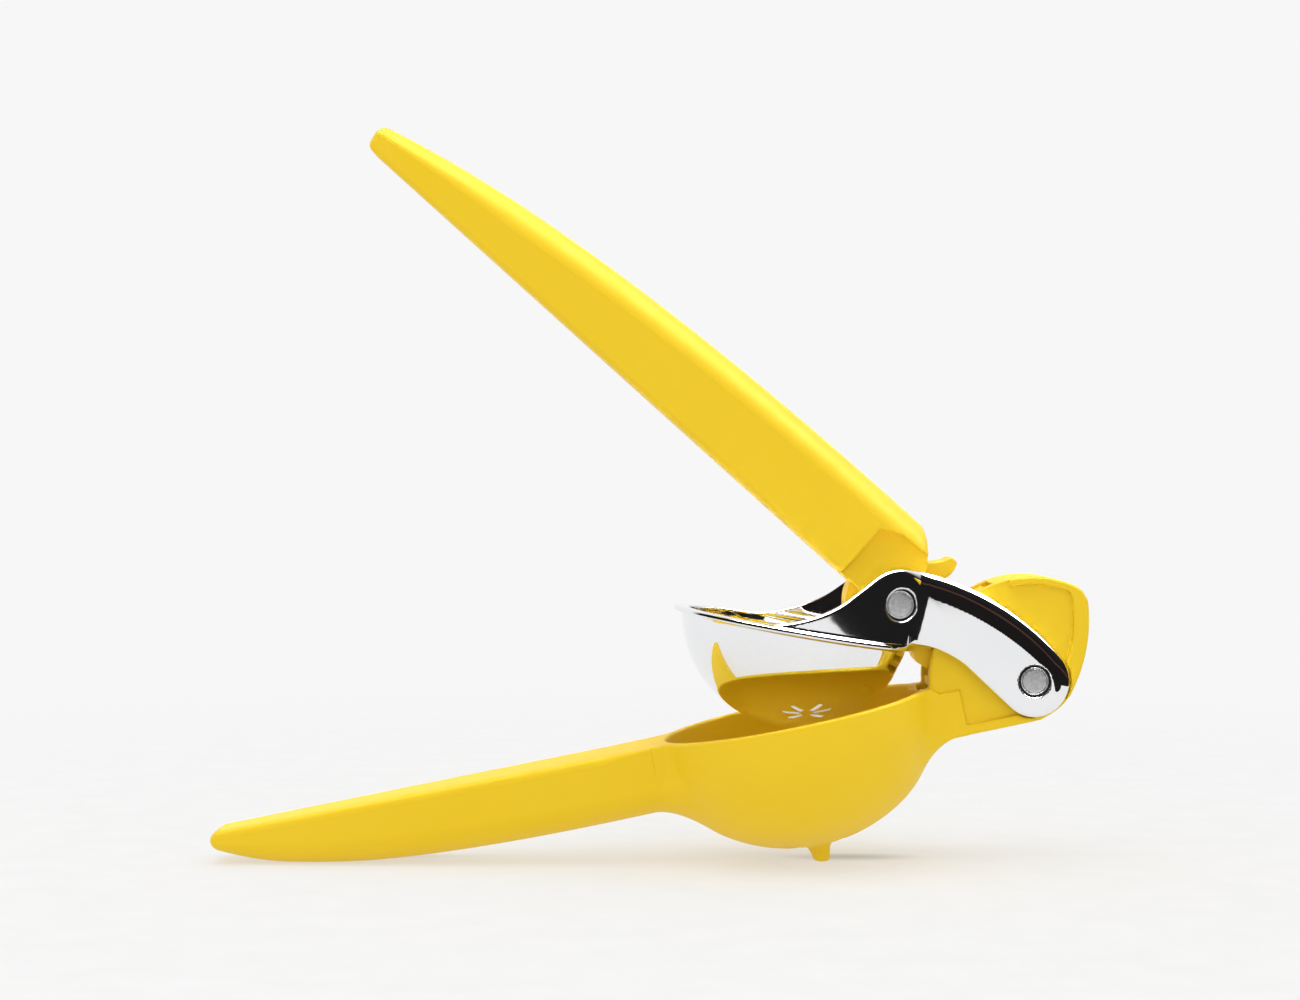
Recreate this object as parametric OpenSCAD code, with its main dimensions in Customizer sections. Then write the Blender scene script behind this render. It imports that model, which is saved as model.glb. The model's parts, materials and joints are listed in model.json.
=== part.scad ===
// Hand citrus press with a geared lever.
// A slotted bowl with a fixed gear sector carries a press lever on one pin.
// The press lever carries the upper handle on a second pin, and the teeth on the
// handle's hub roll on the fixed sector, so closing the handle drives the cup down.
// Every profile is drawn for the closed press: u runs from the handle tips to the
// hinge along the bowl's rim, v stands square to the rim, the rim centre is zero.

/* [Stance] */
// Rise of the bowl's rim towards the hinge as the press stands on its foot
tilt = 11.75; // [8:0.25:15]
// Height of the rim centre above the table
rim_height = 46.8; // [44:0.1:52]
// Distance of the rim centre from the middle of the overall length
rim_offset = 45.9; // [30:0.1:60]
// Swing of the press lever from closed to the stance it is drawn in
open_angle = 21.5; // [0:0.5:36]

/* [Bowl] */
// Outer radius at the rim
bowl_r = 43.5; // [42:0.5:48]
// Outer depth under the rim
bowl_depth = 42.2; // [40:0.1:46]
// Height of the upright collar under the rim
bowl_collar = 6; // [2:0.5:10]
// Radius of the shoulder between the collar and the bottom
bowl_shoulder_r = 33; // [28:0.5:36]
// Wall thickness of the bowl
bowl_wall = 2.7; // [2:0.1:4]
// Width of one drip slot, narrow enough to hold back seeds
drip_w = 3.8; // [3:0.1:4]
// Diameter of the drip foot at its end
foot_d = 4.6; // [3:0.1:6]

/* [Gears] */
// Distance between the two hinge pins
pin_distance = 48.3; // [46:0.1:50]
// Pitch radius of the fixed sector over the pitch radius of the hub
gear_ratio = 1.5; // [1.4:0.05:1.6]
// Teeth that a full turn of the hub gear would have
hub_teeth = 11; // [10:1:12]
// Teeth cut on the hub
hub_teeth_cut = 4; // [3:1:4]
// Width of the hub gear
gear_w = 16.4; // [12:0.2:18]
// Play between meshing flanks along the pitch circle
backlash = 0.65; // [0.4:0.05:0.8]

/* [Hinges] */
// Diameter of both hinge pins
pin_d = 8; // [6:0.5:9]
// Radial clearance of a turning pin
pin_play = 0.05; // [0.02:0.01:0.1]
// Width of the hub and of the housing web between the arms
hub_w = 25; // [22:0.5:26]
// Gap between an arm and what turns beside it
side_gap = 0.5; // [0.3:0.1:1]
// Thickness of one arm
arm_t = 4; // [3:0.5:5]
// Radius of the arms' ends round the pins
arm_lobe_r = 11.2; // [10:0.1:11.5]

/* [Press cup] */
// Radius of the cup's round bottom
cup_r = 36.5; // [35:0.5:37.5]
// Height of the cup's centre above its rim
cup_rise = 4; // [2:0.5:6]
// Wall thickness of the cup
cup_wall = 1.8; // [1.5:0.1:2.5]
// Radius of the cup's flange
flange_r = 38.8; // [38:0.1:39.5]
// Thickness of the flange
flange_t = 1.6; // [1.2:0.1:2]

/* [Handles] */
// Length of the upper handle from the pin to its tip
upper_len = 220.6; // [190:0.2:235]
// Length of the lower handle from the rim centre to its tip
lower_len = 187.8; // [160:1:200]
// Width of the handles beside the hinge and the bowl
grip_w = 34; // [30:1:36]
// Width of the handles at their tips
tip_w = 19; // [14:1:24]
// Distance of the upper handle's inner face from its pin
pin_above_face = 4.7; // [3:0.1:6]

/* [Hidden] */
$fn = 96;
yellow = "#f0cb35";
chrome = "#c9cbcf";
steel = "#a9abae";
big = 400;

// Hinges: the base pin is fixed in the housing's axis, the handle pin swings round it
base_pin_at = [75.07, -3.92];
arm_direction = 160.2;
handle_pin_at = base_pin_at + pin_distance * dir(arm_direction);
slot_w = hub_w + 2 * side_gap;
arms_w = slot_w + 2 * arm_t;

// Gear pair: involute flanks, the hub's teeth long and the sector's teeth short
pressure_angle = 20;
hub_pitch_r = pin_distance / (1 + gear_ratio);
sector_pitch_r = pin_distance - hub_pitch_r;
circular_pitch = 2 * PI * hub_pitch_r / hub_teeth;
hub_pitch_angle = 360 / hub_teeth;
sector_pitch_angle = hub_pitch_angle / gear_ratio;
hub_tip_r = hub_pitch_r + 0.365 * circular_pitch;
sector_tip_r = sector_pitch_r + 0.22 * circular_pitch;
hub_root_r = pin_distance - sector_tip_r - 0.9;
sector_root_r = pin_distance - hub_tip_r - 0.9;
hub_tooth_t = 0.558 * circular_pitch - backlash / 2;
sector_tooth_t = 0.442 * circular_pitch - backlash / 2;
flank_steps = 7;

// Housing
cheek_r = 32.3;
housing_floor = -16.6;
lobe_r = arm_lobe_r + 0.6;
rear_centre = [46.5, 21.2];
rear_r = 50.6;
rear_rim = 4.9;
cheek_rim = 2.5;
housing_front = 34;
housing_back = 110;
housing_top = 40;
recess_left = 49.5;
recess_floor = -13.4;
recess_step = -2.2;
band_w = hub_w + 3;
cheek_gap = gear_w + 1.2;

// Closed curves and points
function dir(a) = [cos(a), sin(a)];
function bezier(p, t) =
    pow(1 - t, 3) * p[0] + 3 * pow(1 - t, 2) * t * p[1] + 3 * (1 - t) * t * t * p[2] + pow(t, 3) * p[3];
function mix(a, b, t) = a + (b - a) * t;
function signed_pow(x, e) = sign(x) * pow(abs(x), e);

// Frames: the body stands tilted, the press swings round the base pin and the
// handle swings round its own pin by the gear ratio times as much
module in_body() {
    translate([rim_offset, 0, rim_height])
        rotate([0, -tilt, 0])
            children();
}

module swing(at, angle) {
    translate([at.x, 0, at.y])
        rotate([0, angle, 0])
            translate([-at.x, 0, -at.y])
                children();
}

module in_press() {
    in_body()
        swing(base_pin_at, open_angle)
            children();
}

module in_handle() {
    in_press()
        swing(handle_pin_at, open_angle * gear_ratio)
            children();
}

// A profile drawn in u and v, stood upright and made as wide as w
module upright(w) {
    rotate([90, 0, 0])
        linear_extrude(height = w, center = true)
            children();
}

// The same profile between two widths, on both sides
module flanks(inner_w, outer_w) {
    for (side = [-1, 1])
        translate([0, side * (inner_w + outer_w) / 4, 0])
            upright((outer_w - inner_w) / 2)
                children();
}

module disc(at, r) {
    translate(at)
        circle(r = r);
}

module crossbar(at, d, length) {
    translate([at.x, 0, at.y])
        rotate([90, 0, 0])
            cylinder(d = d, h = length, center = true);
}

// Skin through rings that all have the same number of points
module skin(rings) {
    n = len(rings[0]);
    last = len(rings) - 1;
    polyhedron(
        points = [for (ring = rings) each ring],
        faces = concat(
            [[for (i = [0:n - 1]) i]],
            [for (k = [0:last - 1], i = [0:n - 1])
                [k * n + i, (k + 1) * n + i, (k + 1) * n + (i + 1) % n, k * n + (i + 1) % n]],
            [[for (i = [n - 1:-1:0]) last * n + i]]
        ),
        convexity = 6
    );
}

// Cross-section of a handle: a flat inner face with soft edges and a crowned back.
// It returns points across the handle and outwards from the inner face.
crown_steps = 14;
crown_power = 0.85;
function grip_section(half_w, inner, back, crown, edge) = concat(
    [for (a = [-90:30:0]) [half_w - edge + edge * cos(a), inner + edge + edge * sin(a)]],
    [for (i = [0:crown_steps])
        let (a = 180 * i / crown_steps)
        [half_w * signed_pow(cos(a), crown_power), back - crown + crown * pow(sin(a), crown_power)]],
    [for (a = [180:30:270]) [edge - half_w + edge * cos(a), inner + edge + edge * sin(a)]]
);

// Both handles narrow towards their tips, which are rounded
tip_round = 3;
tip_edge = 1.6;
function taper(s, len) = pow(max(s, 0) / len, 1.6);
function grip_half_w(s, len) = mix(grip_w, tip_w, taper(s, len)) / 2;

// Gear teeth
function involute(r, base_r) =
    r <= base_r ? 0 : let (a = acos(base_r / r)) tan(a) * 180 / PI - a;
function tooth_half_angle(r, pitch_r, thickness) =
    let (base_r = pitch_r * cos(pressure_angle))
    thickness / pitch_r * 90 / PI + involute(pitch_r, base_r) - involute(r, base_r);
module tooth(pitch_r, root_r, tip_r, thickness) {
    radii = [for (i = [0:flank_steps]) mix(root_r - 0.6, tip_r, i / flank_steps)];
    right = [for (r = radii) r * dir(-tooth_half_angle(r, pitch_r, thickness))];
    left = [for (i = [flank_steps:-1:0]) radii[i] * dir(tooth_half_angle(radii[i], pitch_r, thickness))];
    polygon(concat(right, left));
}

// Lower body --------------------------------------------------------------

// Half profile of the bowl, its bottom arc tangent to its shoulder arc
module bowl_profile(inset) {
    shoulder_r = bowl_shoulder_r - inset;
    drop = bowl_depth - bowl_collar;
    bottom_full_r = (pow(shoulder_at.x, 2) + drop * drop - pow(bowl_shoulder_r, 2))
        / (2 * (drop - bowl_shoulder_r));
    bottom_at = [0, bottom_full_r - bowl_depth];
    bottom_r = bottom_full_r - inset;
    reach = norm(shoulder_at - bottom_at);
    meet_u = bottom_r * shoulder_at.x / reach;
    intersection() {
        disc(bottom_at, bottom_r);
        union() {
            translate([0, -bowl_collar])
                square([bowl_r - inset, bowl_collar]);
            disc(shoulder_at, shoulder_r);
            translate([0, -bowl_depth])
                square([meet_u, bowl_depth]);
        }
        translate([0, -bowl_depth])
            square([bowl_r, bowl_depth]);
    }
}

module bowl_solid(inset) {
    rotate_extrude($fn = 160)
        bowl_profile(inset);
}

// Round-ended slots that fan out round the foot, none towards the sides
drip_angles = [0, 50, 130, 180, 230, 310];
drip_from = 6.6;
drip_to = 14.8;
drip_cut = [-2, 14];
module drip_slots() {
    for (a = drip_angles)
        rotate([0, 0, a])
            translate([0, 0, drip_cut[0] - bowl_depth])
                linear_extrude(height = drip_cut[1] - drip_cut[0]) {
                    translate([drip_from, -drip_w / 2])
                        square([drip_to - drip_from, drip_w]);
                    disc([drip_from, 0], drip_w / 2);
                    disc([drip_to, 0], drip_w / 2);
                }
}

// Stub under the bowl that the juice runs down and the press stands on
foot_root_d = 8;
foot_drop = 6;
foot_sunk = 1;
module foot() {
    end_r = foot_d / 2;
    end_at = [0, 0.7 * end_r - foot_drop];
    translate([0, 0, -bowl_depth])
        rotate_extrude($fn = 48)
            intersection() {
                translate([0, -foot_drop - end_r])
                    square([foot_root_d, foot_drop + end_r + foot_sunk]);
                union() {
                    polygon([
                        [0, foot_sunk], [foot_root_d / 2, foot_sunk],
                        [end_r, end_at.y], [0, -foot_drop]
                    ]);
                    disc(end_at, end_r);
                }
            }
}

// Outer surface of the bowl: its radius at a height, and its normal at a point
shoulder_at = [bowl_r - bowl_shoulder_r, -bowl_collar];
function bowl_radius(v) =
    v >= shoulder_at.y ? bowl_r
    : shoulder_at.x + sqrt(pow(bowl_shoulder_r, 2) - pow(v - shoulder_at.y, 2));
function unit(p) = p / norm(p);
function bowl_normal(p) =
    let (rho = norm([p.x, p.y]))
    unit([p.x * (rho - shoulder_at.x) / rho, p.y * (rho - shoulder_at.x) / rho, min(p.z - shoulder_at.y, 0)]);

// Root of a limb: each line of its skin curves outwards until it lies along the
// bowl, sunk a little into it
root_steps = 7;
root_pull = 6.5;
root_sink = 0.25;
root_inside = 30;
function root_line(p, spread, t) =
    let (
        y = p.y * spread.x,
        z = p.z * spread.y,
        side = sign(p.x),
        foot = [side * sqrt(pow(bowl_radius(z) - root_sink, 2) - y * y), y, z],
        n = bowl_normal(foot),
        away = p - foot,
        along = unit(away - (away * n) * n)
    )
    bezier([p, p - [side * root_pull, 0, 0], foot + root_pull * along, foot], t);
function root_rings(ring, spread) = concat(
    [[for (p = ring) [sign(p.x) * root_inside, p.y * spread.x, p.z * spread.y]]],
    [for (i = [root_steps:-1:1]) [for (p = ring) root_line(p, spread, i / root_steps)]]
);

// Lower handle, a flat top over a deep crowned belly
root_at = 50;
belly = [[root_at, -21.8], [156.7, -23.2], [174.7, -11], [lower_len, -4.5]];
lower_top_rise = 1.4;
lower_crown = 8.5;
lower_edge = 3;
lower_stations = 24;
lower_root_spread = [1.33, 1.38];
function lower_ring(t, round_in) =
    let (
        p = bezier(belly, t),
        s = p.x,
        top = lower_top_rise * (s - root_at) / (lower_len - root_at),
        half_w = grip_half_w(s, lower_len) - round_in,
        back = top - p.y - 0.6 * round_in,
        crown = min(lower_crown, 0.48 * back),
        edge = mix(lower_edge, tip_edge, taper(s, lower_len))
    )
    [for (q = grip_section(half_w, 0.6 * round_in, back, crown, edge))
        [-s, q.x, top - q.y]];
function lower_tip_ring(a) =
    let (ring = lower_ring(1, tip_round * (1 - cos(a))))
    [for (q = ring) [q.x + tip_round * (1 - sin(a)), q.y, q.z]];
module lower_handle() {
    skin(concat(
        root_rings(lower_ring(0, 0), lower_root_spread),
        [for (i = [0:lower_stations]) lower_ring(i / lower_stations * 0.985, 0)],
        [for (a = [30:20:90]) lower_tip_ring(a)]
    ));
}

// Front of the housing, flared where it leaves the bowl
housing_root_at = 49;
housing_root_spread = [1.22, 1.1];
module housing_root() {
    section = grip_section(half_w = band_w / 2, inner = -recess_step, back = -housing_floor, crown = 2, edge = 1);
    ring = [for (q = section) [housing_root_at, -q.x, -q.y]];
    skin(concat(root_rings(ring, housing_root_spread), [ring]));
}

// Side outline of the gear housing behind the bowl
module housing_outline() {
    intersection() {
        disc(base_pin_at, cheek_r);
        disc(rear_centre, rear_r);
        polygon([
            [housing_front, housing_floor], [base_pin_at.x, housing_floor], [83.5, -13.9],
            [housing_back, -4], [housing_back, housing_top], [housing_front, housing_top]
        ]);
    }
    disc(base_pin_at, lobe_r);
    translate([housing_front, housing_floor])
        square([base_pin_at.x - housing_front, 15]);
}

// Wedge with its corner on the base pin
module wedge(angles) {
    polygon(concat([base_pin_at], [for (a = angles) base_pin_at + 90 * dir(a)]));
}

// What the arms sweep over, sunk into both sides of the housing
band_end_angle = 91.8;
module recess_outline() {
    intersection() {
        disc(rear_centre, rear_r - rear_rim);
        polygon([
            [recess_left, recess_floor], [housing_back, recess_floor], [housing_back, housing_top],
            [30, housing_top], [30, recess_step], [recess_left, recess_step]
        ]);
        union() {
            disc(base_pin_at, cheek_r - cheek_rim);
            wedge([band_end_angle, 130, 200]);
        }
    }
    disc(base_pin_at, lobe_r);
    translate([base_pin_at.x - 2, housing_floor - 5])
        square([big, 10]);
}

// Space between the cheeks that the hub's teeth roll through
module sector_space() {
    difference() {
        intersection() {
            disc(base_pin_at, cheek_r + 2);
            wedge([100, 140, 180.5]);
        }
        disc(base_pin_at, sector_root_r);
        for (k = [-0.5, 0.5, 1.5, 2.5])
            translate(base_pin_at)
                rotate(arm_direction - k * sector_pitch_angle)
                    tooth(sector_pitch_r, sector_root_r, sector_tip_r, sector_tooth_t);
    }
}

bowl_mouth_h = 4;
module lower_body() {
    color(yellow)
        difference() {
            in_body() {
                difference() {
                    union() {
                        bowl_solid(0);
                        lower_handle();
                        housing_root();
                        upright(hub_w)
                            housing_outline();
                        flanks(hub_w - 2, band_w)
                            difference() {
                                housing_outline();
                                recess_outline();
                            }
                    }
                    bowl_solid(bowl_wall);
                    translate([0, 0, -bowl_mouth_h / 4])
                        cylinder(r = bowl_r - bowl_wall, h = bowl_mouth_h, $fn = 160);
                    drip_slots();
                    upright(cheek_gap)
                        sector_space();
                    crossbar(base_pin_at, pin_d + 2 * pin_play, big);
                }
                foot();
            }
            translate([-big, -big, -2 * big])
                cube(2 * big);
        }
}

// Press lever --------------------------------------------------------------

collar_r = 37.2;
collar_bore_r = 34.2;
arm_blend_r = 12;
arm_back_r = 79;
arm_slope = 33;
arm_under = 0.8;
collar_lean = 45;
collar_fillet_r = 12;
collar_end = 36;
crown_h = 7;
crown_r = 11;
arc_cross = 0.15;

// Plan of the collar and arms: a ring that runs out into two parallel arms
module lever_plan() {
    blend_y = arms_w / 2 + arm_blend_r;
    blend_at = [sqrt(pow(collar_r + arm_blend_r, 2) - pow(blend_y, 2)), blend_y];
    blend_start = blend_at.x * collar_r / (collar_r + arm_blend_r);
    difference() {
        union() {
            circle(r = collar_r);
            difference() {
                translate([0, -blend_y])
                    square([blend_at.x, 2 * blend_y]);
                for (side = [-1, 1])
                    disc([blend_at.x, side * blend_y], arm_blend_r);
            }
            translate([0, -arms_w / 2])
                square([big, arms_w]);
        }
        circle(r = collar_bore_r);
        translate([0, -slot_w / 2])
            square([big, slot_w]);
    }
}

// Disc as wide as the arms, its rim crowned on both sides
module crowned_disc(at, r) {
    half_w = arms_w / 2;
    translate([at.x, 0, at.y])
        rotate([90, 0, 0])
            rotate_extrude($fn = 180)
                intersection() {
                    translate([0, -half_w])
                        square([r, 2 * half_w]);
                    union() {
                        translate([0, -half_w])
                            square([r - crown_h, 2 * half_w]);
                        for (side = [-1, 1])
                            disc([r - crown_h, side * (half_w - crown_r)], crown_r);
                        translate([0, crown_r - half_w])
                            square([r, 2 * (half_w - crown_r)]);
                    }
                }
}

// Side outline of the collar and arms under their long back arc
module lever_side() {
    join_r = arm_lobe_r - arc_cross;
    under_tangent = base_pin_at - join_r * dir(90 - arm_slope);
    front_tangent = handle_pin_at + join_r * dir(90 + collar_lean);
    fillet_at = [
        front_tangent.x - front_tangent.y / tan(collar_lean) - collar_fillet_r * tan(collar_lean / 2),
        collar_fillet_r
    ];
    under_run = (arm_under - under_tangent.y) / tan(arm_slope);
    polygon(concat(
        [[fillet_at.x, -flange_t]],
        [for (i = [0:6]) fillet_at + collar_fillet_r * dir(i * collar_lean / 6 - 90)],
        [
            front_tangent, handle_pin_at + 40 * dir(100),
            base_pin_at + 40 * dir(70), base_pin_at, under_tangent,
            [under_tangent.x - under_run, arm_under], [collar_end, arm_under], [collar_end, -flange_t]
        ]
    ));
}

// Collar and arms: lobes round both pins under one long crowned arc
module arms() {
    half = pin_distance / 2;
    middle = (handle_pin_at + base_pin_at) / 2;
    back_drop = sqrt(pow(arm_back_r - arm_lobe_r + arc_cross, 2) - half * half);
    intersection() {
        linear_extrude(height = 80, center = true)
            lever_plan();
        union() {
            intersection() {
                upright(big)
                    lever_side();
                crowned_disc(middle - back_drop * dir(arm_direction - 90), arm_back_r);
            }
            crossbar(handle_pin_at, 2 * arm_lobe_r, big);
            crowned_disc(base_pin_at, arm_lobe_r);
        }
    }
}

module cup() {
    rotate_extrude($fn = 160)
        intersection() {
            translate([0, -cup_r])
                square([flange_r, cup_r]);
            union() {
                difference() {
                    disc([0, cup_rise], cup_r);
                    disc([0, cup_rise], cup_r - cup_wall);
                }
                translate([collar_bore_r, -flange_t])
                    square([flange_r - collar_bore_r, flange_t]);
            }
        }
}

// Shallow ring round each end of a pressed-in pin
counterbore_d = 9.8;
pin_stand = 0.6;
module pin_seat(at, pin_len) {
    crossbar(at, pin_d, big);
    for (side = [-1, 1])
        translate([0, side * (pin_len / 2 - pin_stand + big / 2), 0])
            crossbar(at, counterbore_d, big);
}

// Notch in the back of the cup that the hub's teeth roll into
notch_depth = 10.5;
pin_boss_d = 13;
hub_clearance = 0.5;
module press_lever() {
    color(chrome)
        in_press()
            difference() {
                union() {
                    cup();
                    arms();
                    difference() {
                        crossbar(handle_pin_at, pin_boss_d, arms_w);
                        crossbar(handle_pin_at, pin_boss_d + 1, slot_w);
                    }
                }
                translate([collar_bore_r - 10, -cheek_gap / 2, -notch_depth])
                    cube([20, cheek_gap, big]);
                crossbar(handle_pin_at, 2 * (hub_r + hub_clearance), slot_w);
                pin_seat(handle_pin_at, handle_pin_len);
                pin_seat(base_pin_at, base_pin_len);
            }
}

// Upper handle -------------------------------------------------------------

hub_r = 11.8;
grip_root_w = hub_w - 1;
upper_back = [[-1.4, 28.2], [93.6, 29.3], [170.6, 22.8], [upper_len - 1, 8.6]];
upper_crown = 9.2;
upper_edge = 2.4;
upper_stations = 26;
function upper_ring_at(s, back, round_in) =
    let (
        half_w = grip_half_w(s, upper_len) - round_in,
        crown = min(upper_crown, 0.5 * back),
        edge = mix(upper_edge, tip_edge, taper(s, upper_len))
    )
    [for (q = grip_section(half_w, 0.8 * round_in, back - 0.5 * round_in, crown, edge))
        [handle_pin_at.x - s, q.x, handle_pin_at.y - pin_above_face + q.y]];
function upper_ring(t) =
    let (p = bezier(upper_back, t))
    upper_ring_at(p.x, p.y, 0);
module upper_grip() {
    skin(concat(
        [for (a = [89:-23:20])
            upper_ring_at(upper_len - tip_round * (1 - sin(a)), upper_back[3].y, tip_round * (1 - cos(a)))],
        [for (i = [upper_stations:-1:1]) upper_ring(0.04 + 0.95 * i / upper_stations)],
        [upper_ring_at(0, upper_back[0].y, 0)]
    ));
}

// Hinge end of the handle, slanted above the pin, with a round corner at the back
hinge_corner_at = [-9.3, 25.7];
hinge_corner_r = 2.5;
hinge_slant_from = 18.5;
module hinge_end() {
    beyond = -upper_len - 20;
    translate(handle_pin_at - [0, pin_above_face])
        polygon(concat(
            [[beyond, -20], [0, -20], [0, hinge_slant_from]],
            [for (a = [40:10:90]) hinge_corner_at + hinge_corner_r * dir(a)],
            [[beyond, hinge_corner_at.y + hinge_corner_r]]
        ));
}

// Sides cut back so that the arms fit beside the handle
module arm_clearance() {
    translate(handle_pin_at)
        polygon([[-19.9, -40], [-19.9, 14], [-12.4, 17.3], [-2, 16.8], [40, 16.8], [40, -40]]);
}

module hub_gear() {
    translate(handle_pin_at) {
        intersection() {
            circle(r = hub_root_r);
            polygon(concat([[0, 0]], [for (a = [-36:36:180]) 2 * hub_root_r * dir(a)]));
        }
        for (k = [0:hub_teeth_cut - 1])
            rotate(arm_direction - 180 + k * hub_pitch_angle)
                tooth(hub_pitch_r, hub_root_r, hub_tip_r, hub_tooth_t);
    }
}

module upper_handle() {
    color(yellow)
        in_handle()
            difference() {
                union() {
                    difference() {
                        intersection() {
                            upper_grip();
                            upright(grip_w + 10)
                                hinge_end();
                        }
                        flanks(grip_root_w, big)
                            arm_clearance();
                    }
                    crossbar(handle_pin_at, 2 * hub_r, hub_w);
                    upright(gear_w)
                        hub_gear();
                }
                crossbar(handle_pin_at, pin_d + 2 * pin_play, big);
            }
}

// Pins ----------------------------------------------------------------------

handle_pin_len = 38;
base_pin_len = 33.6;
pin_chamfer = 0.4;
module hinge_pin(at, length) {
    translate([at.x, 0, at.y])
        rotate([90, 0, 0])
            rotate_extrude()
                polygon([
                    [0, -length / 2], [pin_d / 2 - pin_chamfer, -length / 2],
                    [pin_d / 2, pin_chamfer - length / 2], [pin_d / 2, length / 2 - pin_chamfer],
                    [pin_d / 2 - pin_chamfer, length / 2], [0, length / 2]
                ]);
}

module handle_pin() {
    color(steel)
        in_press()
            hinge_pin(handle_pin_at, handle_pin_len);
}

module base_pin() {
    color(steel)
        in_press()
            hinge_pin(base_pin_at, base_pin_len);
}

lower_body();
press_lever();
upper_handle();
handle_pin();
base_pin();
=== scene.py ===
"""Studio scene of a hand citrus press with a geared lever.

Everything is drawn for the closed press, in millimetres: u runs from the handle tips to
the hinge along the bowl's rim, v stands square to the rim, y runs across, and the rim
centre is zero. Three shells are distance fields that are meshed, the ends of the pins
are lathed, and each is then turned into the pose that the frame gives.
"""

import json
import math

import bpy
import numpy as np
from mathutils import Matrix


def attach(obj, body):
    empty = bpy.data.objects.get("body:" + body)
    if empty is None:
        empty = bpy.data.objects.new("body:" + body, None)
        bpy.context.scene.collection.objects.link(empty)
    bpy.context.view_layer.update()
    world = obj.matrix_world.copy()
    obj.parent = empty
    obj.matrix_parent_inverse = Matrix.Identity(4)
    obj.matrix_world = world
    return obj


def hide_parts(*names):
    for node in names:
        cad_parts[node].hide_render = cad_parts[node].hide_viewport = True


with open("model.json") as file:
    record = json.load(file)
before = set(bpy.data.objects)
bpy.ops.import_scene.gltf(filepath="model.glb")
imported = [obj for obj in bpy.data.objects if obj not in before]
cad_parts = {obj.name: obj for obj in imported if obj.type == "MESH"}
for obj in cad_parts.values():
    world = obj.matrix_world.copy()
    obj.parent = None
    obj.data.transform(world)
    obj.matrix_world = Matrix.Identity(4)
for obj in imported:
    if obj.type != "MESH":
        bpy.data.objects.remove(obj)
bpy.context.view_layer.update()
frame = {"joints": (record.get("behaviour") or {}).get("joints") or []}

MM = 0.001

# --- Frames, from the joints --------------------------------------------------

# Slope of the bowl's rim, and place of the base pin in the u, v plane.
TILT = math.radians(11.75)
BASE_PIN = np.array([75.07, -3.92])
GEAR_RATIO = 1.5
joints = {joint["name"]: joint for joint in frame["joints"]}
OPEN_ANGLE = math.radians(joints["press_hinge"]["range_deg"][1])


def pin_in_row(name):
    """Place of a hinge in the row frame, as x and z in millimetres."""
    x, _, z = joints[name]["pos_m"]
    return np.array([x, z]) / MM


BASE_PIN_ROW = pin_in_row("press_hinge")
HANDLE_PIN_ROW = pin_in_row("handle_hinge")


def turn(points, angle):
    """Points in the u, v plane turned towards opening."""
    cos, sin = math.cos(angle), math.sin(angle)
    return points @ np.array([[cos, -sin], [sin, cos]])


HANDLE_PIN = BASE_PIN + turn(HANDLE_PIN_ROW - BASE_PIN_ROW, TILT - OPEN_ANGLE)
PIN_DISTANCE = float(np.linalg.norm(HANDLE_PIN - BASE_PIN))
ARM_DIRECTION = math.atan2(*(HANDLE_PIN - BASE_PIN)[::-1])


def body_to_row(uv):
    """Places in the closed press's plane as x and z in the row, for the lower body."""
    return BASE_PIN_ROW + turn(uv - BASE_PIN, -TILT)


def press_to_row(uv):
    """The same for the press lever, which has opened on the base pin."""
    return BASE_PIN_ROW + turn(uv - BASE_PIN, OPEN_ANGLE - TILT)


def handle_to_row(uv):
    """The same for the upper handle, which the gear has turned further."""
    return HANDLE_PIN_ROW + turn(uv - HANDLE_PIN, (1 + GEAR_RATIO) * OPEN_ANGLE - TILT)


# --- Distance fields ------------------------------------------------------------

def union(*parts):
    return np.minimum.reduce(parts)


def both(*parts):
    return np.maximum.reduce(parts)


def soft_union(a, b, r):
    """Union with a concave fillet of radius r."""
    return np.maximum(r, np.minimum(a, b)) - np.hypot(np.maximum(r - a, 0), np.maximum(r - b, 0))


def soft_both(a, b, r):
    """Intersection with its edge rounded to radius r."""
    return -soft_union(-a, -b, r)


def cut(a, tool, r=0.0):
    """a without tool, with the edge rounded to radius r."""
    return soft_both(a, -tool, r) if r else np.maximum(a, -tool)


def disc(u, v, at, r):
    return np.hypot(u - at[0], v - at[1]) - r


def side_of(u, v, at, angle):
    """Half plane through a point, open towards the direction of angle in degrees."""
    a = math.radians(angle)
    return (u - at[0]) * math.cos(a) + (v - at[1]) * math.sin(a)


def edge_line(u, v, a, b):
    """Half plane to the left of the line from a to b."""
    du, dv = b[0] - a[0], b[1] - a[1]
    return ((u - a[0]) * dv - (v - a[1]) * du) / math.hypot(du, dv)


def convex(u, v, points):
    """Convex outline through points that run anticlockwise."""
    return both(*[edge_line(u, v, p, q) for p, q in zip(points, points[1:] + points[:1])])


def slab(y, half):
    return np.abs(y) - half


def mix(a, b, t):
    return a + (b - a) * t


def ease(x, low, high):
    """Smooth step from 0 at low to 1 at high."""
    t = np.clip((x - low) / (high - low), 0, 1)
    return t * t * (3 - 2 * t)


def polar(length, degrees):
    a = math.radians(degrees)
    return np.array([length * math.cos(a), length * math.sin(a)])


def bezier(points, t):
    a, b, c, d = (np.array(p, float)[:, None] for p in points)
    return (1 - t) ** 3 * a + 3 * (1 - t) ** 2 * t * b + 3 * (1 - t) * t ** 2 * c + t ** 3 * d


# --- Meshing --------------------------------------------------------------------

CORNERS = np.array([[i, j, k] for i in (0, 1) for j in (0, 1) for k in (0, 1)])
EDGES = [(a, b) for a in range(8) for b in range(a + 1, 8)
         if np.abs(CORNERS[a] - CORNERS[b]).sum() == 1]
NEXT_CORNER = (4, 2, 1)
FLIP_Y = np.array([1, -1, 1])
KEY_BASE = 1 << 20
KEY_SHIFT = 8

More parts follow.
